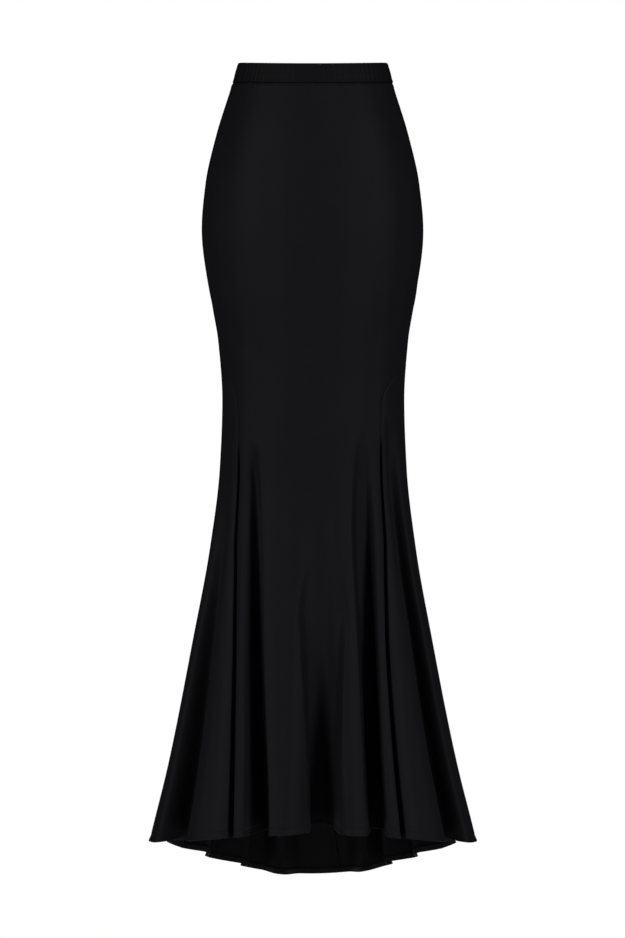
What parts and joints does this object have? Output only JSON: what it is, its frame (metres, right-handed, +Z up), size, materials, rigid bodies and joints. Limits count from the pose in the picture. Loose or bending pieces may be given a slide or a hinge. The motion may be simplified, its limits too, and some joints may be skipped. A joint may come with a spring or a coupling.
{
  "type": "mermaid fishtail skirt",
  "caption": "Long black jersey skirt, close over hip and knee, flaring into a folded fishtail hem with a short train, under an elasticated waistband.",
  "frame": {"origin": "centre of the waist opening, level with the top of the waistband at the sides, where the wearer holds the skirt up", "axes": "+Z up, the wearer faces -Y, +X towards the wearer's left side; the hem and the train hang at -Z"},
  "size_m": [0.4847, 0.4081, 1.2354],
  "materials": {
    "black_jersey": "matt black stretch jersey with a faint soft sheen",
    "waist_casing": "black stretch jersey gathered over elastic"
  },
  "bodies": {
    "root": {"waistband": "waist_casing", "front_panel": "black_jersey", "back_panel_left": "black_jersey", "back_panel_right": "black_jersey", "godet_left": "black_jersey", "godet_right": "black_jersey"}
  },
  "joints": []
}
